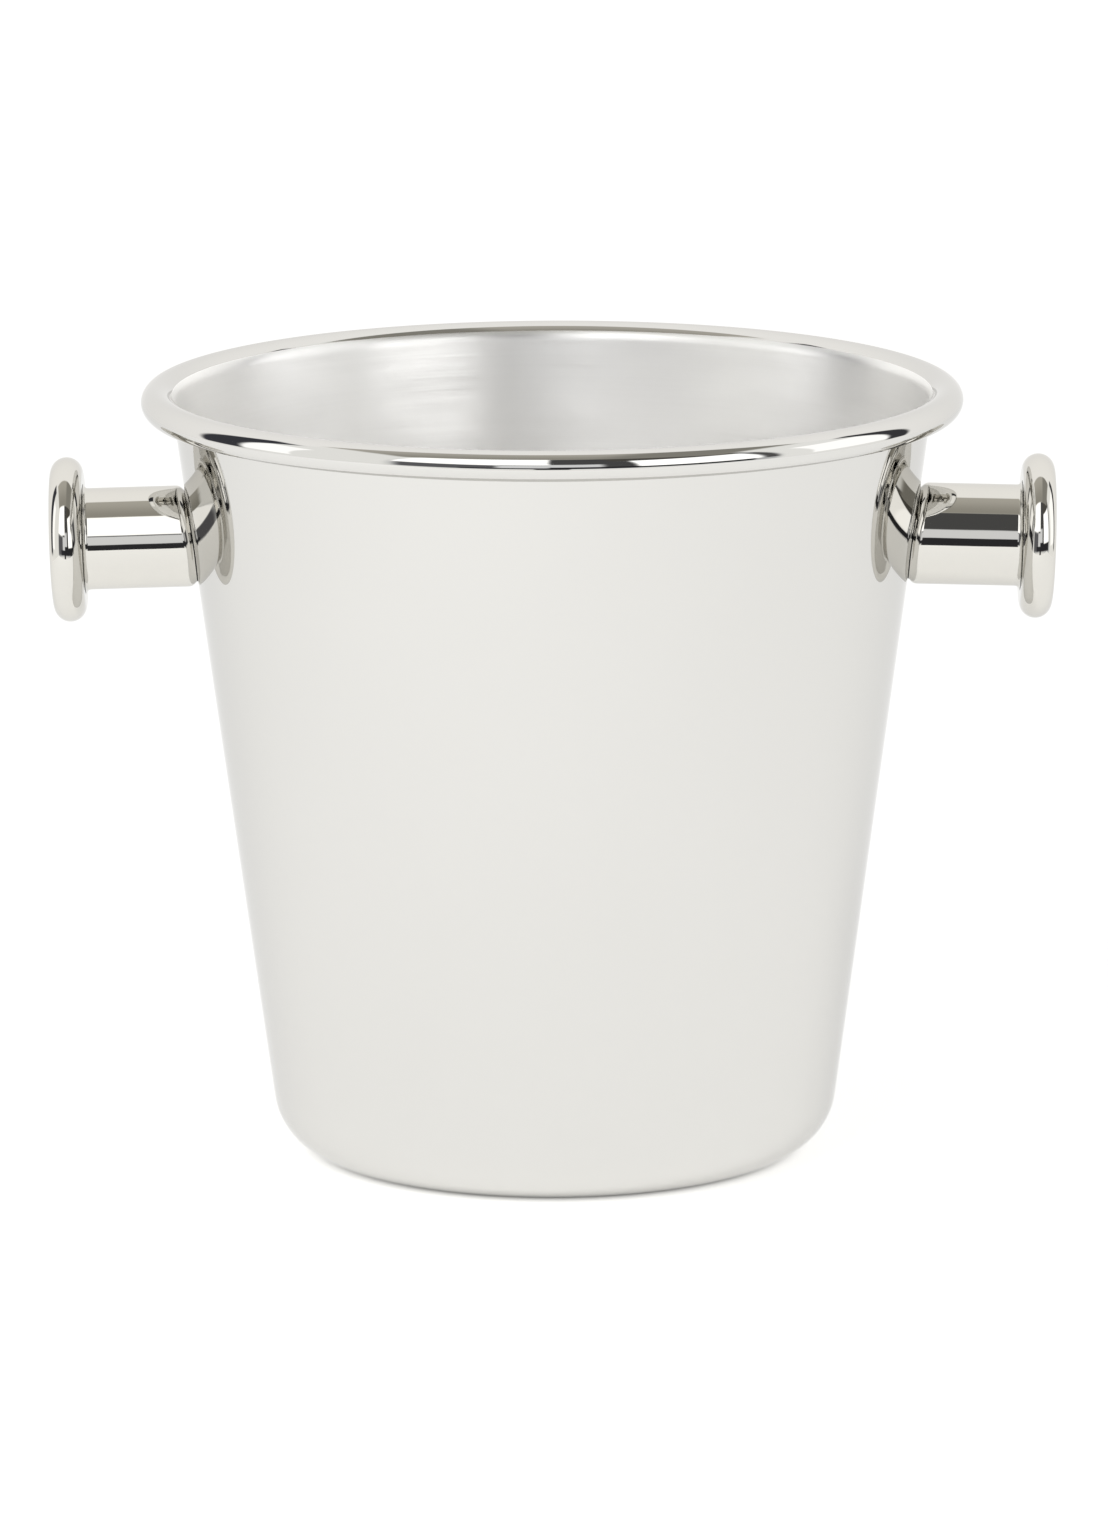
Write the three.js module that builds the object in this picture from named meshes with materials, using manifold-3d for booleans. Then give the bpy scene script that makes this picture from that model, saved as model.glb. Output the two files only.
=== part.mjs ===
// A stainless steel champagne bucket: a deep-drawn shell with a rolled rim, and two spool-shaped
// knobs, each screwed on from the inside. Millimetres, +Z up. The origin is on the floor under the
// middle of the bucket, and the knobs lie along X.
import * as THREE from 'three';
import { mergeVertices } from 'three/addons/utils/BufferGeometryUtils.js';
import Module from 'manifold-3d';

const wasm = await Module();
wasm.setup();

// Shell
const SHEET = 1.0;
const FOOT_RADIUS = 54.1;
const FOOT_RING_WIDTH = 8.0;
const BASE_RECESS = 1.5;
const BASE_STEP_RADIUS = 2.0;
const CORNER_RADIUS = 15.1;
const WALL_DRAFT = THREE.MathUtils.degToRad(7.74);
const RIM_RADIUS = 100.0;
const RIM_HEIGHT = 189.8;
const CURL_RADIUS = 3.65;
const CURL_END = THREE.MathUtils.degToRad(-150);

// Knobs
const KNOB_HEIGHT = 152.5;
const KNOB_DROOP = THREE.MathUtils.degToRad(1.5);
const GRIP_RADIUS = 12.4;
const GRIP_WALL = 1.2;
const GRIP_END = 25.8;
const FLANGE_RADIUS = 20.1;
const FLANGE_THICKNESS = 8.4;
const FLANGE_END = 34.5;
const FLANGE_DOME = 0.5;
const SPIGOT_LENGTH = 5.0;
const CORE_END = 16.0;
const SEAT_WASHER_THICKNESS = 0.6;

// Fixings of one knob, inside the bucket
const SCREW_RADIUS = 2.35;
const SCREW_TIP = 14.0;
const SCREW_POINT_RADIUS = 1.6;
const SCREW_POINT_LENGTH = 0.8;
const SCREW_HEAD_RADIUS = 4.75;
const SCREW_HEAD_HEIGHT = 2.75;
const SCREW_CROWN_RADIUS = 2.6;
const SCREW_SHOULDER_RADIUS = 4.3;
const SCREW_SHOULDER_DEPTH = 1.25;
const SCREW_LAND_DEPTH = 2.3;
const SOCKET_RADIUS = 1.75;
const SOCKET_DEPTH = 1.6;
const SOCKET_SIDES = 6;
const WASHER_RADIUS = 7.0;
const WASHER_THICKNESS = 1.0;
const GASKET_FACE = -3.2;

// Fits and facets
const GAP = 0.3;
const SCREW_HOLE_RADIUS = SCREW_RADIUS + GAP;
const CUT_REACH = 6.0;
const SHELL_SEGMENTS = 48;
const KNOB_SEGMENTS = 32;
const FIXING_SEGMENTS = 24;
const STEP_FACETS = 3;
const CORNER_FACETS = 5;
const SHOULDER_FACETS = 3;
const CURL_FACETS = 8;
const FLANGE_FACETS = 8;
const WELD_DISTANCE = 1e-4;
const UP = Math.PI / 2;

const POLISHED_STEEL = new THREE.MeshStandardMaterial({ color: 0xdcdad4, roughness: 0.06, metalness: 1 });
const TURNED_STEEL = new THREE.MeshStandardMaterial({ color: 0xc9c8c4, roughness: 0.3, metalness: 1 });
const SEAT_PLASTIC = new THREE.MeshStandardMaterial({ color: 0x26262a, roughness: 0.6, metalness: 0 });
const SILICONE = new THREE.MeshStandardMaterial({ color: 0xb9b8b2, roughness: 0.7, metalness: 0 });

// Turns an outline of [radius, height] pairs around Z.
function revolve(outline, segments) {
  const points = outline.map(([radius, height]) => new THREE.Vector2(radius, height));
  const geometry = new THREE.LatheGeometry(points, segments);
  geometry.rotateX(Math.PI / 2);
  return geometry;
}

// Turns a flat ring's section around Z: a washer, bush or tube from one height to another.
function ring(innerRadius, outerRadius, low, high, segments) {
  const outline = [
    [innerRadius, low],
    [outerRadius, low],
    [outerRadius, high],
    [innerRadius, high],
    [innerRadius, low],
  ];
  return revolve(outline, segments);
}

// A closed three.js geometry as a manifold solid.
function toSolid(geometry) {
  const bare = geometry.clone();
  bare.deleteAttribute('normal');
  bare.deleteAttribute('uv');
  const welded = mergeVertices(bare, WELD_DISTANCE);
  const index = welded.index.array;
  const triangles = [];
  for (let corner = 0; corner < index.length; corner += 3) {
    const [a, b, c] = index.slice(corner, corner + 3);
    if (a !== b && b !== c && c !== a) {
      triangles.push(a, b, c);
    }
  }
  const mesh = new wasm.Mesh({
    numProp: 3,
    vertProperties: new Float32Array(welded.attributes.position.array),
    triVerts: new Uint32Array(triangles),
  });
  return new wasm.Manifold(mesh);
}

// A manifold solid as a three.js geometry.
function toGeometry(solid) {
  const mesh = solid.getMesh();
  const geometry = new THREE.BufferGeometry();
  geometry.setAttribute('position', new THREE.BufferAttribute(mesh.vertProperties, 3));
  geometry.setIndex(new THREE.BufferAttribute(mesh.triVerts, 1));
  geometry.computeVertexNormals();
  return geometry;
}

function part(name, geometry, material) {
  const mesh = new THREE.Mesh(geometry, material);
  mesh.name = name;
  return mesh;
}

// Stations along a bend. A station is a point on the sheet's inner face, with the unit normal
// towards its outer face. side is 1 where the outer face is away from the bend's centre, else -1.
function bend(centre, radius, startAngle, endAngle, steps, side) {
  const stations = [];
  for (let step = 0; step <= steps; step += 1) {
    const angle = startAngle + (endAngle - startAngle) * step / steps;
    const direction = new THREE.Vector2(Math.cos(angle), Math.sin(angle));
    stations.push({
      point: centre.clone().addScaledVector(direction, radius),
      normal: direction.clone().multiplyScalar(side),
    });
  }
  return stations;
}

// The sheet's run from the middle of the base, up the wall and round the rolled rim. The wall
// turns over the rim in a shoulder, whose radius makes it touch the wall and the curl smoothly.
function shellStations() {
  const down = new THREE.Vector2(0, -1);
  const wallNormal = new THREE.Vector2(Math.cos(WALL_DRAFT), -Math.sin(WALL_DRAFT));

  const stepBends = 2 * BASE_STEP_RADIUS + SHEET;
  const stepAngle = Math.acos(1 - BASE_RECESS / stepBends);
  const ringStart = FOOT_RADIUS - FOOT_RING_WIDTH;
  const panelRadius = ringStart - stepBends * Math.sin(stepAngle);
  const panelTop = BASE_RECESS + SHEET;
  const upperBend = new THREE.Vector2(panelRadius, panelTop - BASE_STEP_RADIUS - SHEET);
  const lowerBend = new THREE.Vector2(ringStart, SHEET + BASE_STEP_RADIUS);

  const corner = new THREE.Vector2(FOOT_RADIUS, CORNER_RADIUS);
  const cornerRadius = CORNER_RADIUS - SHEET;
  const curl = new THREE.Vector2(RIM_RADIUS - CURL_RADIUS, RIM_HEIGHT - CURL_RADIUS);
  const crest = new THREE.Vector2(curl.x, RIM_HEIGHT);
  const wallToCrest = crest.clone().sub(corner).dot(wallNormal) - cornerRadius;
  const shoulderRadius = wallToCrest / (1 - Math.sin(WALL_DRAFT));
  const shoulder = new THREE.Vector2(crest.x, crest.y - shoulderRadius);

  return [
    { point: new THREE.Vector2(0, panelTop), normal: down },
    ...bend(upperBend, BASE_STEP_RADIUS + SHEET, UP, UP - stepAngle, STEP_FACETS, -1),
    ...bend(lowerBend, BASE_STEP_RADIUS, -UP - stepAngle, -UP, STEP_FACETS, 1).slice(1),
    ...bend(corner, cornerRadius, -UP, -WALL_DRAFT, CORNER_FACETS, 1),
    ...bend(shoulder, shoulderRadius, Math.PI - WALL_DRAFT, UP, SHOULDER_FACETS, -1),
    ...bend(curl, CURL_RADIUS, UP, CURL_END, CURL_FACETS, -1).slice(1),
  ];
}

// The bucket's wall as a plain cone, moved outwards by offset: what a knob's pieces are cut to.
function wallCone(offset) {
  const throat = FOOT_RADIUS + (CORNER_RADIUS + offset) / Math.cos(WALL_DRAFT);
  const low = KNOB_HEIGHT - 2 * FLANGE_RADIUS;
  const high = KNOB_HEIGHT + 2 * FLANGE_RADIUS;
  const radiusAt = (height) => throat + (height - CORNER_RADIUS) * Math.tan(WALL_DRAFT);
  const outline = [
    [0, low],
    [radiusAt(low), low],
    [radiusAt(high), high],
    [0, high],
  ];
  return revolve(outline, SHELL_SEGMENTS);
}

// The frame of a knob: its origin is where the axis meets the wall's outer face, and its +Z runs
// out along the knob, drooping a little below the horizontal.
function knobMatrix() {
  const wallRadius = FOOT_RADIUS + CORNER_RADIUS / Math.cos(WALL_DRAFT)
    + (KNOB_HEIGHT - CORNER_RADIUS) * Math.tan(WALL_DRAFT);
  const matrix = new THREE.Matrix4().makeRotationY(Math.PI / 2 + KNOB_DROOP);
  matrix.setPosition(wallRadius, 0, KNOB_HEIGHT);
  return matrix;
}

// The wall cone seen from a knob's frame.
function coneForKnob(offset) {
  const cone = wallCone(offset);
  cone.applyMatrix4(knobMatrix().invert());
  return toSolid(cone);
}

function bucketShell() {
  const stations = shellStations();
  const inner = stations.map(({ point }) => [point.x, point.y]);
  const outer = stations.map(({ point, normal }) => {
    const face = point.clone().addScaledVector(normal, SHEET);
    return [face.x, face.y];
  });
  let shell = toSolid(revolve([...outer, ...inner.reverse()], SHELL_SEGMENTS));
  for (const turn of [0, Math.PI]) {
    const hole = [
      [0, -CUT_REACH],
      [SCREW_HOLE_RADIUS, -CUT_REACH],
      [SCREW_HOLE_RADIUS, CUT_REACH],
      [0, CUT_REACH],
    ];
    const drill = revolve(hole, FIXING_SEGMENTS);
    drill.applyMatrix4(knobMatrix());
    drill.rotateZ(turn);
    shell = shell.subtract(toSolid(drill));
  }
  return part('bucket_shell', toGeometry(shell), POLISHED_STEEL);
}

function gripBarrel(side) {
  const blank = ring(GRIP_RADIUS - GRIP_WALL, GRIP_RADIUS, -CUT_REACH, GRIP_END, KNOB_SEGMENTS);
  const barrel = toSolid(blank).subtract(coneForKnob(GAP));
  return part(`${side}_grip_barrel`, toGeometry(barrel), POLISHED_STEEL);
}

// The spool's end: a disc with a fully rounded edge and a slightly domed face, and a spigot that
// enters the barrel.
function endFlange(side) {
  const edgeRadius = (FLANGE_THICKNESS - FLANGE_DOME) / 2;
  const faceLow = FLANGE_END - FLANGE_THICKNESS;
  const edgeCentre = new THREE.Vector2(FLANGE_RADIUS - edgeRadius, faceLow + edgeRadius);
  const edge = bend(edgeCentre, edgeRadius, -UP, UP, FLANGE_FACETS, 1);
  const spigotRadius = GRIP_RADIUS - GRIP_WALL - GAP;
  const outline = [
    [0, faceLow - SPIGOT_LENGTH],
    [spigotRadius, faceLow - SPIGOT_LENGTH],
    [spigotRadius, faceLow],
    ...edge.map(({ point }) => [point.x, point.y]),
    [0, FLANGE_END],
  ];
  return part(`${side}_end_flange`, revolve(outline, KNOB_SEGMENTS), POLISHED_STEEL);
}

function threadedCore(side) {
  const radius = GRIP_RADIUS - GRIP_WALL - GAP;
  const blank = ring(SCREW_HOLE_RADIUS, radius, -CUT_REACH, CORE_END, FIXING_SEGMENTS);
  const core = toSolid(blank).subtract(coneForKnob(2 * GAP + SEAT_WASHER_THICKNESS));
  return part(`${side}_threaded_core`, toGeometry(core), TURNED_STEEL);
}

function seatWasher(side) {
  const radius = GRIP_RADIUS - GRIP_WALL - GAP;
  const blank = toSolid(ring(SCREW_HOLE_RADIUS, radius, -CUT_REACH, CUT_REACH, FIXING_SEGMENTS));
  const outside = blank.subtract(coneForKnob(GAP));
  const washer = outside.intersect(coneForKnob(GAP + SEAT_WASHER_THICKNESS));
  return part(`${side}_seat_washer`, toGeometry(washer), SEAT_PLASTIC);
}

function innerGasket(side) {
  const blank = ring(SCREW_HOLE_RADIUS, WASHER_RADIUS, GASKET_FACE, CUT_REACH, FIXING_SEGMENTS);
  const gasket = toSolid(blank).intersect(coneForKnob(-SHEET - GAP));
  return part(`${side}_inner_gasket`, toGeometry(gasket), SILICONE);
}

function innerWasher(side) {
  const high = GASKET_FACE - GAP;
  const low = high - WASHER_THICKNESS;
  const geometry = ring(SCREW_HOLE_RADIUS, WASHER_RADIUS, low, high, FIXING_SEGMENTS);
  return part(`${side}_inner_washer`, geometry, TURNED_STEEL);
}

function fixingScrew(side) {
  const seat = GASKET_FACE - 2 * GAP - WASHER_THICKNESS;
  const top = seat - SCREW_HEAD_HEIGHT;
  const outline = [
    [0, top],
    [SCREW_CROWN_RADIUS, top],
    [SCREW_SHOULDER_RADIUS, top + SCREW_SHOULDER_DEPTH],
    [SCREW_HEAD_RADIUS, top + SCREW_LAND_DEPTH],
    [SCREW_HEAD_RADIUS, seat],
    [SCREW_RADIUS, seat],
    [SCREW_RADIUS, SCREW_TIP - SCREW_POINT_LENGTH],
    [SCREW_POINT_RADIUS, SCREW_TIP],
    [0, SCREW_TIP],
  ];
  const socket = [
    [0, top - SOCKET_DEPTH],
    [SOCKET_RADIUS, top - SOCKET_DEPTH],
    [SOCKET_RADIUS, top + SOCKET_DEPTH],
    [0, top + SOCKET_DEPTH],
  ];
  const hexagon = toSolid(revolve(socket, SOCKET_SIDES));
  const screw = toSolid(revolve(outline, FIXING_SEGMENTS)).subtract(hexagon);
  return part(`${side}_fixing_screw`, toGeometry(screw), TURNED_STEEL);
}

function knob(side, turn) {
  const placed = new THREE.Group();
  placed.add(
    gripBarrel(side),
    endFlange(side),
    threadedCore(side),
    seatWasher(side),
    innerGasket(side),
    innerWasher(side),
    fixingScrew(side),
  );
  knobMatrix().decompose(placed.position, placed.quaternion, placed.scale);
  const turned = new THREE.Group();
  turned.rotation.z = turn;
  turned.add(placed);
  return turned;
}

const bucket = new THREE.Group();
bucket.add(bucketShell(), knob('right', 0), knob('left', Math.PI));

export default bucket;
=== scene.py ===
"""Looks for the champagne bucket: a mirror-polished shell with a rolled rim and two spool knobs.

Lengths are in metres. MM turns a length in millimetres into metres.
"""

import math

import bmesh
import bpy
from mathutils import Matrix, Vector


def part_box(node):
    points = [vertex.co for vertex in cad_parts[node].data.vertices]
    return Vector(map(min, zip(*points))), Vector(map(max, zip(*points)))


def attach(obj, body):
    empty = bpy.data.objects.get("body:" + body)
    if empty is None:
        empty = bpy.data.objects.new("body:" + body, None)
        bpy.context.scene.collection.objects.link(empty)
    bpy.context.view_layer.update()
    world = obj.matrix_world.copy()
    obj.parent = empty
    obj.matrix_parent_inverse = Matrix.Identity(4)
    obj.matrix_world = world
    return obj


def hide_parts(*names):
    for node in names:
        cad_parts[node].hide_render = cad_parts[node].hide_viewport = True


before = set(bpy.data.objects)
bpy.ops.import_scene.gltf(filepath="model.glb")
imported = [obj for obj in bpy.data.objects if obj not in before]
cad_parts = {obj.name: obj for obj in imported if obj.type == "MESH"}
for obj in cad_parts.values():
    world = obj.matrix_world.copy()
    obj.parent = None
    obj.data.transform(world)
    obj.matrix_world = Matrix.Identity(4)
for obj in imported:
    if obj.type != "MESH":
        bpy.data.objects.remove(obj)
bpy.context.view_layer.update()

MM = 0.001

# ---------------------------------------------------------------- driving dimensions
# The shell's own sizes come from its CAD box; the rest repeat the design.
_, shell_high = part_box("bucket_shell")
RIM_HEIGHT = shell_high.z
RIM_RADIUS = shell_high.x
SHEET = 1.0 * MM
FOOT_RADIUS = 54.1 * MM
FOOT_RING_WIDTH = 8.0 * MM
BASE_RECESS = 1.5 * MM
BASE_STEP_RADIUS = 2.0 * MM
CORNER_RADIUS = 15.1 * MM
WALL_DRAFT = math.radians(7.74)
CURL_RADIUS = 3.65 * MM
CURL_END = math.radians(-150)
SATIN_EDGE = math.radians(142)

KNOB_HEIGHT = 152.5 * MM
KNOB_DROOP = math.radians(1.5)
GRIP_RADIUS = 12.4 * MM
GRIP_WALL = 1.2 * MM
GRIP_EDGE = 2.2 * MM
GRIP_COVE = 1.1 * MM
FLANGE_RADIUS = 20.1 * MM
FLANGE_THICKNESS = 8.4 * MM
FLANGE_END = 34.5 * MM
FLANGE_DOME = 0.5 * MM
SPIGOT_LENGTH = 5.0 * MM
SPIGOT_CHAMFER = 0.4 * MM
GAP = 0.3 * MM
CONTACT = 0.08 * MM

SCREW_RADIUS = 2.35 * MM
SCREW_TIP = 14.0 * MM
SCREW_POINT_RADIUS = 1.6 * MM
SCREW_POINT_LENGTH = 0.8 * MM
SCREW_HEAD_RADIUS = 4.75 * MM
SCREW_HEAD_HEIGHT = 2.75 * MM
SCREW_CROWN_RADIUS = 2.6 * MM
SCREW_LAND = 0.3 * MM
SOCKET_RADIUS = 1.75 * MM
SOCKET_DEPTH = 1.6 * MM
SOCKET_POINT = 0.4 * MM
SOCKET_SIDES = 6
MOUTH_CHAMFER = 0.3 * MM
MOUTH_MARGIN = 0.2 * MM
WASHER_RADIUS = 7.0 * MM
WASHER_THICKNESS = 1.0 * MM
WASHER_ROLL = 0.25 * MM
GASKET_FACE = -3.2 * MM
GASKET_BULGE = 0.25 * MM
SCREW_HOLE_RADIUS = SCREW_RADIUS + GAP
DRILL_REACH = 6 * MM
UP = math.pi / 2

# ---------------------------------------------------------------- fineness of the meshes
SHELL_SEGMENTS = 256
KNOB_SEGMENTS = 96
STEP_FACETS = 8
CORNER_FACETS = 40
SATIN_FACETS = 10
SHOULDER_FACETS = 14
CURL_FACETS = 60
# Rings up the wall, as shares of its height. They crowd towards its ends, where the bends begin.
WALL_RINGS = (0.002, 0.01, 0.05, 0.2, 0.4, 0.6, 0.8, 0.95, 0.99, 0.998)
GRIP_EDGE_FACETS = 10
GRIP_COVE_FACETS = 8
FLANGE_FACETS = 40
DOME_FACETS = 12
GASKET_FACETS = 8
WASHER_FACETS = 6
SCREW_HEAD_FACETS = 14
EDGE_RING = 0.1 * MM
ON_THE_AXIS = 1e-7
SHARP_ANGLE = math.radians(35)
FACES_UP = 0.5
REACH_PASSES = 12

SIDES = {"right": 0.0, "left": math.pi}


# ---------------------------------------------------------------- mesh helpers
def bend(centre, radius, start, end, steps, side):
    """Stations along a bend: points on the sheet's inner face, with the outer face's normal."""
    stations = []
    for step in range(steps + 1):
        angle = start + (end - start) * step / steps
        direction = Vector((math.cos(angle), math.sin(angle)))
        stations.append((centre + direction * radius, direction * side))
    return stations


def revolved(name, outline, segments, closed=False):
    """Turns an outline of (radius, height) points round Z. Points on the axis become one vertex."""
    grid = bmesh.new()
    rings = []
    for radius, height in outline:
        if radius < ON_THE_AXIS:
            rings.append([grid.verts.new((0, 0, height))])
            continue
        ring = []
        for segment in range(segments):
            angle = 2 * math.pi * segment / segments
            place = (radius * math.cos(angle), radius * math.sin(angle), height)
            ring.append(grid.verts.new(place))
        rings.append(ring)
    pairs = list(zip(rings, rings[1:]))
    if closed:
        pairs.append((rings[-1], rings[0]))
    for low, high in pairs:
        for segment in range(segments):
            after = (segment + 1) % segments
            corners = [low[segment % len(low)], low[after % len(low)],
                       high[after % len(high)], high[segment % len(high)]]
            unique = list(dict.fromkeys(corners))
            if len(unique) > 2:
                grid.faces.new(unique)
    bmesh.ops.recalc_face_normals(grid, faces=grid.faces)
    mesh = bpy.data.meshes.new(name)
    grid.to_mesh(mesh)
    grid.free()
    piece = bpy.data.objects.new(name, mesh)
    bpy.context.scene.collection.objects.link(piece)
    return piece


def smooth_by_angle(piece):
    """Smooth shading that stays sharp where two faces meet at more than SHARP_ANGLE."""
    grid = bmesh.new()
    grid.from_mesh(piece.data)
    for face in grid.faces:
        face.smooth = True
    for edge in grid.edges:
        edge.smooth = len(edge.link_faces) == 2 and edge.calc_face_angle(0) < SHARP_ANGLE
    grid.to_mesh(piece.data)
    grid.free()


def apply_modifiers(piece):
    graph = bpy.context.evaluated_depsgraph_get()
    mesh = bpy.data.meshes.new_from_object(piece.evaluated_get(graph))
    piece.modifiers.clear()
    piece.data = mesh


def finish_piece(piece, node, material):
    smooth_by_angle(piece)
    if not piece.data.materials:
        piece.data.materials.append(material)
    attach(piece, "root")
    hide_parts(node)


# ---------------------------------------------------------------- materials
class Shade:
    """A Principled material being made. Patterns are in metres, on the object's own axes."""

    def __init__(self, name, metallic=0.0):
        self.material = bpy.data.materials.new(name)
        self.material.use_nodes = True
        self.nodes = self.material.node_tree.nodes
        self.links = self.material.node_tree.links
        self.shader = self.nodes["Principled BSDF"]
        self.shader.inputs["Metallic"].default_value = metallic
        self.place = self.nodes.new("ShaderNodeTexCoord").outputs["Object"]

    def maths(self, operation, first, second=None):
        node = self.nodes.new("ShaderNodeMath")
        node.operation = operation
        for socket, value in zip(node.inputs, (first, second)):
            if isinstance(value, (int, float)):
                socket.default_value = value
            elif value is not None:
                self.links.new(value, socket)
        return node.outputs["Value"]

    def noise(self, scale, detail, vector=None):
        node = self.nodes.new("ShaderNodeTexNoise")
        node.inputs["Scale"].default_value = scale
        node.inputs["Detail"].default_value = detail
        self.links.new(vector or self.place, node.inputs["Vector"])
        return node.outputs["Fac"]

    def stretched(self, across, along):
        """Coordinates whose pattern repeats across times a metre level and along times upright."""
        node = self.nodes.new("ShaderNodeMapping")
        node.inputs["Scale"].default_value = (across, across, along)
        self.links.new(self.place, node.inputs["Vector"])
        return node.outputs["Vector"]

    def round_the_axis(self, turns, along):
        """Coordinates for lines that run round Z: slow round the axis, quick up it."""
        split = self.nodes.new("ShaderNodeSeparateXYZ")
        self.links.new(self.place, split.inputs["Vector"])
        flat = self.nodes.new("ShaderNodeVectorMath")
        flat.operation = "NORMALIZE"
        level = self.nodes.new("ShaderNodeCombineXYZ")
        self.links.new(split.outputs["X"], level.inputs["X"])
        self.links.new(split.outputs["Y"], level.inputs["Y"])
        self.links.new(level.outputs["Vector"], flat.inputs[0])
        rise = self.nodes.new("ShaderNodeCombineXYZ")
        self.links.new(self.maths("MULTIPLY", split.outputs["Z"], along), rise.inputs["Z"])
        sweep = self.nodes.new("ShaderNodeVectorMath")
        sweep.operation = "MULTIPLY_ADD"
        self.links.new(flat.outputs["Vector"], sweep.inputs[0])
        sweep.inputs[1].default_value = (turns, turns, turns)
        self.links.new(rise.outputs["Vector"], sweep.inputs[2])
        return sweep.outputs["Vector"]

    def gloss(self, value, low, high, value_low=0.0, value_high=1.0):
        node = self.nodes.new("ShaderNodeMapRange")
        node.inputs["From Min"].default_value = value_low
        node.inputs["From Max"].default_value = value_high
        node.inputs["To Min"].default_value = low
        node.inputs["To Max"].default_value = high
        self.links.new(value, node.inputs["Value"])
        self.links.new(node.outputs["Result"], self.shader.inputs["Roughness"])

    def tint(self, value, light, dark):
        node = self.nodes.new("ShaderNodeMix")
        node.data_type = "RGBA"
        node.inputs[6].default_value = (*light, 1)
        node.inputs[7].default_value = (*dark, 1)
        self.links.new(value, node.inputs["Factor"])
        self.links.new(node.outputs[2], self.shader.inputs["Base Color"])

    def relief(self, value, depth):
        node = self.nodes.new("ShaderNodeBump")
        node.inputs["Distance"].default_value = depth
        self.links.new(value, node.inputs["Height"])
        self.links.new(node.outputs["Normal"], self.shader.inputs["Normal"])


# The product of two noises runs from about the first of these to the second.
MARKS_LOW, MARKS_HIGH = 0.12, 0.42
EDGE_TINT = (0.82, 0.82, 0.82, 1)
HAZE_PER_METRE, HAZE_DETAIL = 22.0, 4.0
HAIRLINES_ACROSS, HAIRLINES_ALONG, HAIRLINE_DETAIL = 70.0, 2600.0, 3.0
MIRROR_ROUGHNESS = (0.012, 0.06)
RIPPLE_DETAIL = 1.5

SATIN_LIGHT, SATIN_DARK = (0.93, 0.924, 0.909), (0.89, 0.884, 0.869)
SATIN_ROUGHNESS = (0.33, 0.47)
SATIN_SPREAD, QUARTER_TURN = 0.45, 0.25
GRAIN_TURNS, GRAIN_ALONG, GRAIN_DETAIL, GRAIN_DEPTH = 2.5, 2600.0, 5.0, 0.012 * MM
WEAR_TURNS, WEAR_ALONG, WEAR_DETAIL = 3.5, 140.0, 3.0

TURNED_LIGHT, TURNED_DARK = (0.70, 0.69, 0.67), (0.60, 0.59, 0.57)
TURNED_ROUGHNESS = (0.18, 0.38)
TOOL_MARKS_PER_METRE, TOOL_MARK_DETAIL, TOOL_MARK_DEPTH = 900.0, 3.0, 0.008 * MM
MOTTLE_PER_METRE, MOTTLE_DETAIL, MOTTLE_DEPTH = 600.0, 2.0, 0.02 * MM


def mirror_steel(name, light, dark, ripples_per_metre, ripple_depth):
    """Polished stainless steel: nearly a mirror, with a trace of haze, hairlines and a ripple."""
    shade = Shade(name, metallic=1.0)
    shade.shader.inputs["Specular Tint"].default_value = EDGE_TINT
    haze = shade.noise(HAZE_PER_METRE, HAZE_DETAIL)
    run = shade.stretched(HAIRLINES_ACROSS, HAIRLINES_ALONG)
    marks = shade.maths("MULTIPLY", haze, shade.noise(1.0, HAIRLINE_DETAIL, run))
    shade.gloss(marks, *MIRROR_ROUGHNESS, MARKS_LOW, MARKS_HIGH)
    shade.tint(haze, light, dark)
    shade.relief(shade.noise(ripples_per_metre, RIPPLE_DETAIL), ripple_depth)
    return shade.material


def satin_steel():
    """The bucket's inside: spun satin steel with fine lines running round it and soft wear."""
    shade = Shade("satin_spun_steel", metallic=1.0)
    shade.shader.inputs["Anisotropic"].default_value = SATIN_SPREAD
    shade.shader.inputs["Anisotropic Rotation"].default_value = QUARTER_TURN
    tangent = shade.nodes.new("ShaderNodeTangent")
    tangent.direction_type = "RADIAL"
    tangent.axis = "Z"
    shade.links.new(tangent.outputs["Tangent"], shade.shader.inputs["Tangent"])
    grain = shade.noise(1.0, GRAIN_DETAIL, shade.round_the_axis(GRAIN_TURNS, GRAIN_ALONG))
    wear = shade.noise(1.0, WEAR_DETAIL, shade.round_the_axis(WEAR_TURNS, WEAR_ALONG))
    marks = shade.maths("MULTIPLY", grain, wear)
    shade.gloss(marks, *SATIN_ROUGHNESS, MARKS_LOW, MARKS_HIGH)
    shade.tint(marks, SATIN_LIGHT, SATIN_DARK)
    shade.relief(grain, GRAIN_DEPTH)
    return shade.material


def turned_steel():
    """Screws, washers and cores: turned steel with fine tool marks."""
    shade = Shade("turned_steel", metallic=1.0)
    marks = shade.noise(TOOL_MARKS_PER_METRE, TOOL_MARK_DETAIL)
    shade.gloss(marks, *TURNED_ROUGHNESS)
    shade.tint(marks, TURNED_LIGHT, TURNED_DARK)
    shade.relief(marks, TOOL_MARK_DEPTH)
    return shade.material


def moulded(name, light, dark, rough_low, rough_high):
    """A moulded seal or washer: fine mottling in colour and gloss."""
    shade = Shade(name)
    mottle = shade.noise(MOTTLE_PER_METRE, MOTTLE_DETAIL)
    shade.gloss(mottle, rough_low, rough_high)
    shade.tint(mottle, light, dark)
    shade.relief(mottle, MOTTLE_DEPTH)
    return shade.material


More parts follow.
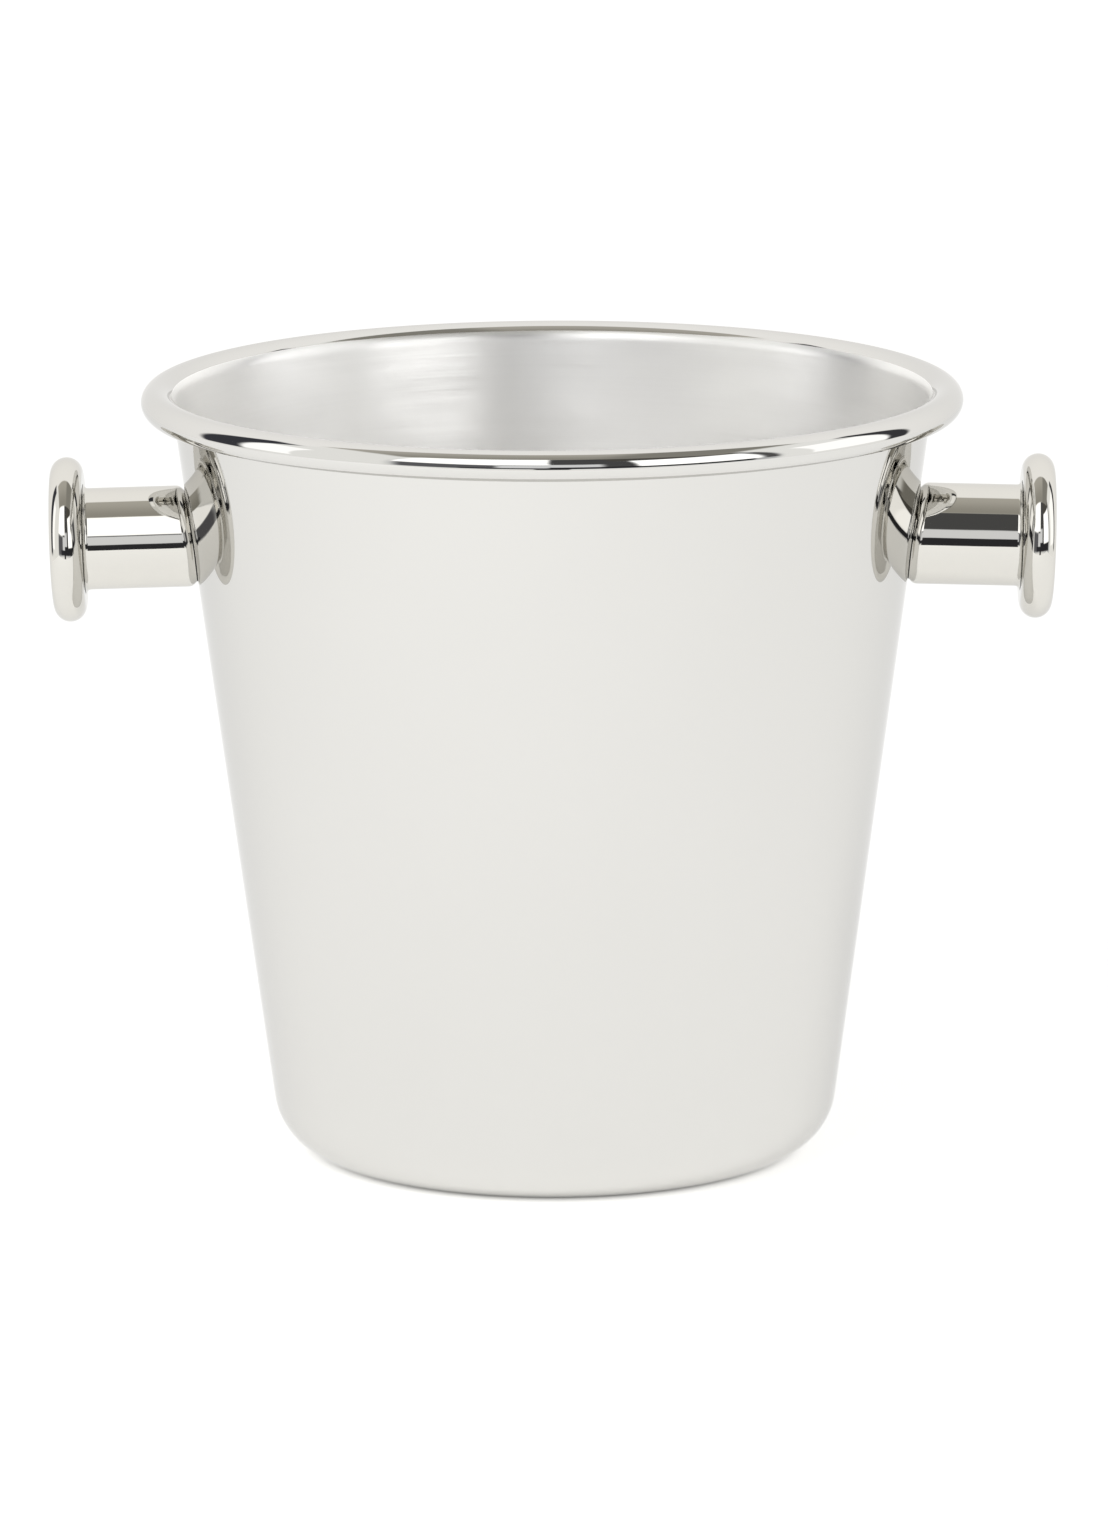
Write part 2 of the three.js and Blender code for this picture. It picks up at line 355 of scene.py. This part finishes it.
SHELL_STEEL = mirror_steel("mirror_polished_steel", (0.71, 0.702, 0.681), (0.695, 0.687, 0.666),
                           ripples_per_metre=60.0, ripple_depth=0.004 * MM)
KNOB_STEEL = mirror_steel("polished_knob_steel", (0.715, 0.70, 0.66), (0.695, 0.68, 0.64),
                          ripples_per_metre=95.0, ripple_depth=0.035 * MM)
SATIN = satin_steel()
TURNED = turned_steel()
NYLON = moulded("seat_nylon", (0.055, 0.055, 0.06), (0.03, 0.03, 0.034), 0.45, 0.65)
SILICONE = moulded("grey_silicone", (0.62, 0.62, 0.60), (0.54, 0.54, 0.52), 0.5, 0.7)


# ---------------------------------------------------------------- shell
def shell_stations():
    """The sheet's run from the middle of the base, up the wall and round the rolled rim, and the
    number of the station where the satin inside ends."""
    down = Vector((0, -1))
    wall_normal = Vector((math.cos(WALL_DRAFT), -math.sin(WALL_DRAFT)))

    step_bends = 2 * BASE_STEP_RADIUS + SHEET
    step_angle = math.acos(1 - BASE_RECESS / step_bends)
    ring_start = FOOT_RADIUS - FOOT_RING_WIDTH
    panel_radius = ring_start - step_bends * math.sin(step_angle)
    panel_top = BASE_RECESS + SHEET
    upper_bend = Vector((panel_radius, panel_top - BASE_STEP_RADIUS - SHEET))
    lower_bend = Vector((ring_start, SHEET + BASE_STEP_RADIUS))

    corner = Vector((FOOT_RADIUS, CORNER_RADIUS))
    corner_radius = CORNER_RADIUS - SHEET
    curl = Vector((RIM_RADIUS - CURL_RADIUS, RIM_HEIGHT - CURL_RADIUS))
    crest = Vector((curl.x, RIM_HEIGHT))
    wall_to_crest = (crest - corner).dot(wall_normal) - corner_radius
    shoulder_radius = wall_to_crest / (1 - math.sin(WALL_DRAFT))
    shoulder = crest - Vector((0, shoulder_radius))

    stations = [(Vector((0, panel_top)), down), (Vector((panel_radius * 0.5, panel_top)), down)]
    stations += bend(upper_bend, BASE_STEP_RADIUS + SHEET, UP, UP - step_angle, STEP_FACETS, -1)
    stations += bend(lower_bend, BASE_STEP_RADIUS, -UP - step_angle, -UP, STEP_FACETS, 1)[1:]
    stations += bend(corner, corner_radius, -UP, -WALL_DRAFT, CORNER_FACETS, 1)
    inner_bend = bend(shoulder, shoulder_radius, math.pi - WALL_DRAFT, SATIN_EDGE, SATIN_FACETS, -1)
    wall_low, wall_high = stations[-1][0], inner_bend[0][0]
    for share in WALL_RINGS:
        stations.append((wall_low.lerp(wall_high, share), wall_normal))
    stations += inner_bend
    inside = len(stations) - 1
    stations += bend(shoulder, shoulder_radius, SATIN_EDGE, UP, SHOULDER_FACETS, -1)[1:]
    stations += bend(curl, CURL_RADIUS, UP, CURL_END, CURL_FACETS, -1)[1:]
    return stations, inside


def knob_matrix(turn):
    """A knob's own frame: the origin is where its axis meets the wall's outside, +Z runs out."""
    wall_radius = (FOOT_RADIUS + CORNER_RADIUS / math.cos(WALL_DRAFT)
                   + (KNOB_HEIGHT - CORNER_RADIUS) * math.tan(WALL_DRAFT))
    place = Matrix.Translation((wall_radius, 0, KNOB_HEIGHT))
    return Matrix.Rotation(turn, 4, "Z") @ place @ Matrix.Rotation(UP + KNOB_DROOP, 4, "Y")


def cut_away(piece, cutter):
    """Cuts one piece out of another and leaves the result without materials."""
    cut = piece.modifiers.new(cutter.name, "BOOLEAN")
    cut.object = cutter
    cut.operation = "DIFFERENCE"
    cut.solver = "EXACT"
    apply_modifiers(piece)
    bpy.data.objects.remove(cutter)
    piece.data.materials.clear()


def bucket_shell():
    """The whole deep-drawn sheet: polished outside and on its rim, satin inside."""
    stations, inside = shell_stations()
    inner = [(point.x, point.y) for point, normal in stations]
    outer = [(point.x + normal.x * SHEET, point.y + normal.y * SHEET) for point, normal in stations]
    shell = revolved("shell", inner + outer[::-1], SHELL_SEGMENTS)
    for turn in SIDES.values():
        drill = revolved("drill", [(0, -DRILL_REACH), (SCREW_HOLE_RADIUS, -DRILL_REACH),
                                   (SCREW_HOLE_RADIUS, DRILL_REACH), (0, DRILL_REACH)],
                         KNOB_SEGMENTS)
        drill.data.transform(knob_matrix(turn))
        cut_away(shell, drill)
    shell.data.materials.append(SHELL_STEEL)
    shell.data.materials.append(SATIN)
    inside_edge = inner[inside]
    for face in shell.data.polygons:
        centre = Vector((Vector(face.center.xy).length, face.center.z))
        inward = face.normal.xy.dot(face.center.xy) < 0 or face.normal.z > FACES_UP
        if inward and centre.x < inside_edge[0] and centre.y < inside_edge[1]:
            face.material_index = 1
    finish_piece(shell, "bucket_shell", SHELL_STEEL)


# ---------------------------------------------------------------- knobs
def wall_reach(point, offset):
    """How far along the knob's Z the wall's cone lies at a point's X and Y, offset outwards."""
    matrix = knob_matrix(0.0)
    slope = math.tan(WALL_DRAFT)
    throat = FOOT_RADIUS + (CORNER_RADIUS + offset) / math.cos(WALL_DRAFT)
    reach = 0.0
    for _ in range(REACH_PASSES):
        world = matrix @ Vector((point[0], point[1], reach))
        radius = throat + (world.z - CORNER_RADIUS) * slope
        reach += (radius - world.xy.length) / math.cos(WALL_DRAFT)
    return reach


def grip_barrel(side, turn):
    """A tube with a rolled-in edge where it is dressed to the wall, and a cove at the flange."""
    inner = GRIP_RADIUS - GRIP_WALL
    outline = [(inner, 0.0)]
    for step in range(GRIP_EDGE_FACETS + 1):
        angle = UP * step / GRIP_EDGE_FACETS
        radius = GRIP_RADIUS - GRIP_EDGE + GRIP_EDGE * math.sin(angle)
        if radius > inner + EDGE_RING / 2:
            outline.append((radius, GRIP_EDGE - GRIP_EDGE * math.cos(angle)))
    far = FLANGE_END - FLANGE_THICKNESS - CONTACT
    cove_start = far - GRIP_COVE
    for height in (GRIP_EDGE + EDGE_RING, GRIP_EDGE + 5 * EDGE_RING, far / 2,
                   cove_start - 5 * EDGE_RING, cove_start - EDGE_RING):
        outline.append((GRIP_RADIUS, height))
    for step in range(GRIP_COVE_FACETS + 1):
        angle = UP * step / GRIP_COVE_FACETS
        outline.append((GRIP_RADIUS + GRIP_COVE * (1 - math.cos(angle)),
                        cove_start + GRIP_COVE * math.sin(angle)))
    outline.append((inner, far))
    barrel = revolved("barrel", outline, KNOB_SEGMENTS * 2, closed=True)
    for vertex in barrel.data.vertices:
        reach = wall_reach(vertex.co, 2 * CONTACT)
        fade = max(0.0, 1 - vertex.co.z / far)
        vertex.co.z += reach * fade
    barrel.name = f"{side}_grip_barrel_polished"
    barrel.data.transform(knob_matrix(turn))
    finish_piece(barrel, f"{side}_grip_barrel", KNOB_STEEL)


def end_flange(side, turn):
    """A thick disc with a fully rounded edge, a slightly domed end and a spigot in the barrel."""
    edge_radius = (FLANGE_THICKNESS - FLANGE_DOME) / 2
    low = FLANGE_END - FLANGE_THICKNESS
    spigot = GRIP_RADIUS - GRIP_WALL - GAP
    spigot_end = low - SPIGOT_LENGTH
    outline = [(0, spigot_end), (spigot - SPIGOT_CHAMFER, spigot_end),
               (spigot, spigot_end + SPIGOT_CHAMFER), (spigot, low)]
    centre_r = FLANGE_RADIUS - edge_radius
    centre_z = low + edge_radius
    for step in range(FLANGE_FACETS + 1):
        angle = math.pi * step / FLANGE_FACETS - UP
        outline.append((centre_r + edge_radius * math.cos(angle),
                        centre_z + edge_radius * math.sin(angle)))
    top = centre_z + edge_radius
    for step in range(1, DOME_FACETS + 1):
        share = 1 - step / DOME_FACETS
        outline.append((centre_r * share, top + FLANGE_DOME * (1 - share * share)))
    flange = revolved("flange", outline, KNOB_SEGMENTS * 2)
    flange.name = f"{side}_end_flange_polished"
    flange.data.transform(knob_matrix(turn))
    finish_piece(flange, f"{side}_end_flange", KNOB_STEEL)


def inner_gasket(side, turn):
    """A soft washer whose outer face lies on the wall's inside, with a bulged edge."""
    hole, rim = SCREW_HOLE_RADIUS, WASHER_RADIUS - GASKET_BULGE
    near = GASKET_FACE + CONTACT
    outline = [(hole, near), ((hole + rim) / 2, near), (rim, near)]
    for step in range(1, GASKET_FACETS):
        share = step / GASKET_FACETS
        outline.append((rim + GASKET_BULGE * math.sin(math.pi * share), near * (1 - share)))
    outline += [(rim, 0.0), ((hole + rim) / 2, 0.0), (hole, 0.0)]
    gasket = revolved("gasket", outline, KNOB_SEGMENTS, closed=True)
    for vertex in gasket.data.vertices:
        share = 1 - vertex.co.z / near
        vertex.co.z += wall_reach(vertex.co, -SHEET - CONTACT) * share
    gasket.name = f"{side}_inner_gasket_soft"
    gasket.data.transform(knob_matrix(turn))
    finish_piece(gasket, f"{side}_inner_gasket", SILICONE)


def inner_washer(side, turn):
    """A stamped steel washer: one rolled edge, one square."""
    high = GASKET_FACE - CONTACT
    low = high - WASHER_THICKNESS
    outline = [(SCREW_HOLE_RADIUS, high), (WASHER_RADIUS, high)]
    for step in range(WASHER_FACETS + 1):
        angle = UP * step / WASHER_FACETS
        outline.append((WASHER_RADIUS - WASHER_ROLL + WASHER_ROLL * math.cos(angle),
                        low + WASHER_ROLL - WASHER_ROLL * math.sin(angle)))
    outline.append((SCREW_HOLE_RADIUS, low))
    washer = revolved("washer", outline, KNOB_SEGMENTS, closed=True)
    washer.name = f"{side}_inner_washer_turned"
    washer.data.transform(knob_matrix(turn))
    finish_piece(washer, f"{side}_inner_washer", TURNED)


def fixing_screw(side, turn):
    """A button-head screw with a hexagon socket, chamfered at its mouth."""
    seat = GASKET_FACE - 2 * CONTACT - WASHER_THICKNESS
    top = seat - SCREW_HEAD_HEIGHT
    outline = [(0, top), (SCREW_CROWN_RADIUS, top)]
    spread, drop = SCREW_HEAD_RADIUS - SCREW_CROWN_RADIUS, SCREW_HEAD_HEIGHT - SCREW_LAND
    for step in range(1, SCREW_HEAD_FACETS + 1):
        angle = UP * step / SCREW_HEAD_FACETS
        outline.append((SCREW_CROWN_RADIUS + spread * math.sin(angle),
                        top + drop * (1 - math.cos(angle))))
    outline += [(SCREW_HEAD_RADIUS, seat), (SCREW_RADIUS, seat),
                (SCREW_RADIUS, SCREW_TIP - SCREW_POINT_LENGTH),
                (SCREW_POINT_RADIUS, SCREW_TIP), (0, SCREW_TIP)]
    screw = revolved("screw", outline, KNOB_SEGMENTS)
    floor_of_socket, above = top - SOCKET_DEPTH, top + SOCKET_DEPTH
    cut_away(screw, revolved("socket", [(0, floor_of_socket), (SOCKET_RADIUS, floor_of_socket),
                                        (SOCKET_RADIUS, above), (0, above + SOCKET_POINT)],
                             SOCKET_SIDES))
    mouth = SOCKET_RADIUS + MOUTH_CHAMFER
    outside = top - MOUTH_MARGIN
    cut_away(screw, revolved("mouth", [(0, outside), (mouth + MOUTH_MARGIN, outside),
                                       (0, top + mouth)], KNOB_SEGMENTS))
    screw.name = f"{side}_fixing_screw_button"
    screw.data.transform(knob_matrix(turn))
    finish_piece(screw, f"{side}_fixing_screw", TURNED)


# ---------------------------------------------------------------- camera, light and floor
CAMERA_DISTANCE = 2470 * MM
CAMERA_PITCH = math.radians(11.6)
CAMERA_AIM = Vector((0.0001, 0, 0.0953))
CAMERA_ROLL = math.radians(-0.23)
CAMERA_REACH = 20.0
SENSOR = 36.0
FOCAL_LENGTH = 237.487


def camera():
    data = bpy.data.cameras.new("camera")
    data.sensor_fit = "VERTICAL"
    data.sensor_height = SENSOR
    data.lens = FOCAL_LENGTH
    data.clip_end = CAMERA_REACH
    eye = bpy.data.objects.new("camera", data)
    bpy.context.scene.collection.objects.link(eye)
    tilt = Matrix.Rotation(UP - CAMERA_PITCH, 4, "X") @ Matrix.Rotation(CAMERA_ROLL, 4, "Z")
    back = Vector((0, -math.cos(CAMERA_PITCH), math.sin(CAMERA_PITCH))) * CAMERA_DISTANCE
    eye.matrix_world = Matrix.Translation(CAMERA_AIM + back) @ tilt
    bpy.context.scene.camera = eye


FLOOR_WEST, FLOOR_EAST = -620 * MM, 620 * MM
FLOOR_FRONT, FLOOR_BACK = -500 * MM, 1600 * MM
FLOOR_GAP = 0.02 * MM
FLOOR_COLOUR = (0.86, 0.86, 0.8514, 1)
FLOOR_ROUGHNESS = 0.8
# The floor glows, and this emission lightens the shade the bucket casts on it.
FLOOR_GLOW = 0.55
FLOOR_GLOW_COLOUR = (1, 0.998, 0.985, 1)
# Width over which the floor's emission fades back in beyond the foot, drawing a painted contact
# shadow.
PAINTED_CONTACT_SHADOW_FADE = 8 * MM

LAMP_PLACE = Vector((-0.50, -1.05, 1.15))
LAMP_SIDE = 0.7
LAMP_WATTS = 4.5
ROOM_LIGHT = 0.56
BACKDROP = 1.2

# Each panel of the studio is seen only in reflections: azimuth from and to, elevation from and to,
# and softness of its edge, all in degrees, and its colour. Azimuth 0 is the front, and right is
# positive. A later panel stands in front of an earlier one.
ROOM_COLOUR = (1.10, 1.09, 1.07)
WHITE = (1.6, 1.6, 1.6)
BOX_SIDE = (1.45, 1.45, 1.45)
PANELS = (
    (-80, 106, -14, 57, 2.0, (0.58, 0.59, 0.60)),       # the room behind the lamps
    (-98, -46, -16, 55, 3.0, (1.03, 1.03, 1.01)),       # left wall
    (-46, -1.0, 14, 59, 1.0, WHITE),                    # key box
    (-44, -15, -12, 13, 2.0, (0.13, 0.13, 0.14)),       # the dark under it
    (-1.0, 24, -12, 58, 1.0, (0.08, 0.08, 0.081)),      # dark card in front
    (-15, 14, -6, 19, 1.5, (0.84, 0.85, 0.87)),         # light card by the camera
    (-15, -1.0, 16, 25, 1.0, WHITE),                    # foot of the key box
    (-15, -1.0, 13.2, 15.2, 0.8, (0.12, 0.12, 0.125)),  # its lower frame
    (-26, -1, -12, -5, 0.8, (0.035, 0.035, 0.04)),      # the dark beyond the table, left
    (-1, 58, -12, 0, 0.8, (0.03, 0.03, 0.033)),         # and right
    (-5, 5, -17.5, -6, 0.8, (0.03, 0.03, 0.033)),       # and where it dips in the middle
    (0, 22, 59, 62.5, 0.8, (0.58, 0.53, 0.43)),         # warm ceiling edge
    (18, 64, 38, 58, 1.5, (0.09, 0.085, 0.075)),        # the dark over the fill box
    (24, 60, -2, 38, 1.0, WHITE),                       # fill box
    (24, 40, 1, 36, 2.0, (1.85, 1.85, 1.85)),           # its hot middle
    (61, 66, -4, 36, 1.0, (0.10, 0.10, 0.10)),          # its frame
    (66, 109, -16, 55, 2.0, (1.05, 1.05, 1.03)),        # right wall
    (-96, -77.5, -8, 33, 1.0, BOX_SIDE),                # left box
    (-114, -96, -12, 46, 2.0, (0.05, 0.052, 0.062)),    # left flag
    (77, 107, -8, 33, 1.0, BOX_SIDE),                   # right box
    (107, 117, -12, 42, 1.5, (0.05, 0.05, 0.055)),      # right flag
)

# The ceiling is a strip over the bucket. Overhead angles rise from the front over the top; sideways
# angles run from left to right.
CEILING_SPAN, CEILING_SOFTNESS = (58, 101), 1.5
CEILING_WIDTH, CEILING_SIDE_SOFTNESS = (-34, 38), 2.5
CEILING_FADE = (60, 98)
CEILING_FRONT, CEILING_BACK = (0.35, 0.335, 0.295), (0.51, 0.49, 0.44)
CEILING_SHADE = (0.285, 0.275, 0.245)
CEILING_SHADE_WIDTH, CEILING_SHADE_SOFTNESS = (11, 38), 4


def floor():
    """A white table that glows a little, with a painted contact shadow: its emission is left out
    where the bucket stands on it and fades back in just beyond the foot. Elsewhere the emission
    keeps the bucket's cast shadow pale."""
    grid = bmesh.new()
    corners = ((FLOOR_WEST, FLOOR_FRONT), (FLOOR_EAST, FLOOR_FRONT),
               (FLOOR_EAST, FLOOR_BACK), (FLOOR_WEST, FLOOR_BACK))
    grid.faces.new([grid.verts.new((x, y, -FLOOR_GAP)) for x, y in corners])
    mesh = bpy.data.meshes.new("floor")
    grid.to_mesh(mesh)
    grid.free()
    piece = bpy.data.objects.new("floor", mesh)
    bpy.context.scene.collection.objects.link(piece)
    shade = Shade("glowing_floor_with_painted_contact_shadow")
    shader = shade.shader
    shader.inputs["Base Color"].default_value = FLOOR_COLOUR
    shader.inputs["Roughness"].default_value = FLOOR_ROUGHNESS
    shader.inputs["Specular IOR Level"].default_value = 0.0
    shader.inputs["Emission Color"].default_value = FLOOR_GLOW_COLOUR
    length = shade.nodes.new("ShaderNodeVectorMath")
    length.operation = "LENGTH"
    shade.links.new(shade.place, length.inputs[0])
    # Painted contact shadow: no emission inside the foot's radius, rising smoothly to full strength
    # over the fade width beyond it.
    glow_with_painted_contact_shadow = shade.nodes.new("ShaderNodeMapRange")
    glow_with_painted_contact_shadow.interpolation_type = "SMOOTHSTEP"
    glow_with_painted_contact_shadow.inputs["From Min"].default_value = FOOT_RADIUS
    glow_with_painted_contact_shadow.inputs["From Max"].default_value = FOOT_RADIUS + PAINTED_CONTACT_SHADOW_FADE
    glow_with_painted_contact_shadow.inputs["To Max"].default_value = FLOOR_GLOW
    shade.links.new(length.outputs["Value"], glow_with_painted_contact_shadow.inputs["Value"])
    shade.links.new(glow_with_painted_contact_shadow.outputs["Result"], shader.inputs["Emission Strength"])
    mesh.materials.append(shade.material)


def key_light():
    """A large soft lamp at the front left, which throws the faint shadow to the right."""
    data = bpy.data.lights.new("key", "AREA")
    data.shape = "RECTANGLE"
    data.size = LAMP_SIDE
    data.size_y = LAMP_SIDE
    data.energy = LAMP_WATTS
    lamp = bpy.data.objects.new("key", data)
    bpy.context.scene.collection.objects.link(lamp)
    aim = LAMP_PLACE.to_track_quat("Z", "Y").to_matrix().to_4x4()
    lamp.matrix_world = Matrix.Translation(LAMP_PLACE) @ aim
    lamp.visible_glossy = False
    lamp.visible_camera = False


def studio():
    """A white studio. Only reflections see its dark room, soft boxes, flags and ceiling."""
    scene = bpy.context.scene
    scene.view_settings.view_transform = "Standard"
    scene.view_settings.look = "None"
    world = bpy.data.worlds.new("studio")
    scene.world = world
    world.use_nodes = True
    nodes = world.node_tree.nodes
    links = world.node_tree.links
    nodes.clear()
    place = nodes.new("ShaderNodeTexCoord")
    split = nodes.new("ShaderNodeSeparateXYZ")
    links.new(place.outputs["Generated"], split.inputs["Vector"])

    def maths(operation, first, second=None):
        node = nodes.new("ShaderNodeMath")
        node.operation = operation
        for socket, value in zip(node.inputs, (first, second)):
            if isinstance(value, (int, float)):
                socket.default_value = value
            elif value is not None:
                links.new(value, socket)
        return node.outputs["Value"]

    def ramp(value, low, high):
        node = nodes.new("ShaderNodeMapRange")
        node.interpolation_type = "SMOOTHSTEP"
        links.new(value, node.inputs["Value"])
        node.inputs["From Min"].default_value = low
        node.inputs["From Max"].default_value = high
        return node.outputs["Result"]

    def window(value, low, high, soft):
        """1 between low and high, fading to 0 over soft either side of them."""
        fall = maths("SUBTRACT", 1.0, ramp(value, high - soft, high + soft))
        return maths("MULTIPLY", ramp(value, low - soft, low + soft), fall)

    def paint(base, colour, mask):
        """The base where the mask is 0, the colour where it is 1. Each is a tuple or a socket."""
        mix = nodes.new("ShaderNodeMix")
        mix.data_type = "RGBA"
        links.new(mask, mix.inputs["Factor"])
        if isinstance(base, tuple):
            mix.inputs[6].default_value = (*base, 1)
        else:
            links.new(base, mix.inputs[6])
        if isinstance(colour, tuple):
            mix.inputs[7].default_value = (*colour, 1)
        else:
            links.new(colour, mix.inputs[7])
        return mix.outputs[2]

    degrees = math.degrees(1)
    front = maths("MULTIPLY", split.outputs["Y"], -1.0)
    elevation = maths("MULTIPLY", maths("ARCSINE", split.outputs["Z"]), degrees)
    azimuth = maths("MULTIPLY", maths("ARCTAN2", split.outputs["X"], front), degrees)
    overhead = maths("MULTIPLY", maths("ARCTAN2", split.outputs["Z"], front), degrees)
    sideways = maths("MULTIPLY", maths("ARCSINE", split.outputs["X"]), degrees)

    colour = ROOM_COLOUR
    for west, east, low, high, soft, level in PANELS:
        across = window(azimuth, west, east, soft)
        colour = paint(colour, level, maths("MULTIPLY", across, window(elevation, low, high, soft)))
    ceiling = window(overhead, *CEILING_SPAN, CEILING_SOFTNESS)
    rise = ramp(overhead, *CEILING_FADE)
    beam = maths("MULTIPLY", ceiling, window(sideways, *CEILING_WIDTH, CEILING_SIDE_SOFTNESS))
    colour = paint(colour, paint(CEILING_FRONT, CEILING_BACK, rise), beam)
    darker = window(sideways, *CEILING_SHADE_WIDTH, CEILING_SHADE_SOFTNESS)
    colour = paint(colour, CEILING_SHADE, maths("MULTIPLY", ceiling, darker))

    path = nodes.new("ShaderNodeLightPath")
    seen = nodes.new("ShaderNodeBackground")
    links.new(colour, seen.inputs["Color"])
    plain = nodes.new("ShaderNodeBackground")
    plain.inputs["Color"].default_value = (1, 1, 1, 1)
    plain.inputs["Strength"].default_value = ROOM_LIGHT
    backdrop = nodes.new("ShaderNodeBackground")
    backdrop.inputs["Color"].default_value = (1, 1, 1, 1)
    backdrop.inputs["Strength"].default_value = BACKDROP
    choose = nodes.new("ShaderNodeMixShader")
    links.new(path.outputs["Is Glossy Ray"], choose.inputs["Fac"])
    links.new(plain.outputs["Background"], choose.inputs[1])
    links.new(seen.outputs["Background"], choose.inputs[2])
    direct = nodes.new("ShaderNodeMixShader")
    links.new(path.outputs["Is Camera Ray"], direct.inputs["Fac"])
    links.new(choose.outputs["Shader"], direct.inputs[1])
    links.new(backdrop.outputs["Background"], direct.inputs[2])
    output = nodes.new("ShaderNodeOutputWorld")
    links.new(direct.outputs["Shader"], output.inputs["Surface"])


camera()
floor()
key_light()
studio()
bucket_shell()
for side, turn in SIDES.items():
    grip_barrel(side, turn)
    end_flange(side, turn)
    inner_gasket(side, turn)
    inner_washer(side, turn)
    fixing_screw(side, turn)
    for part, material in (("threaded_core", TURNED), ("seat_washer", NYLON)):
        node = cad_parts[f"{side}_{part}"]
        node.data.materials.clear()
        node.data.materials.append(material)
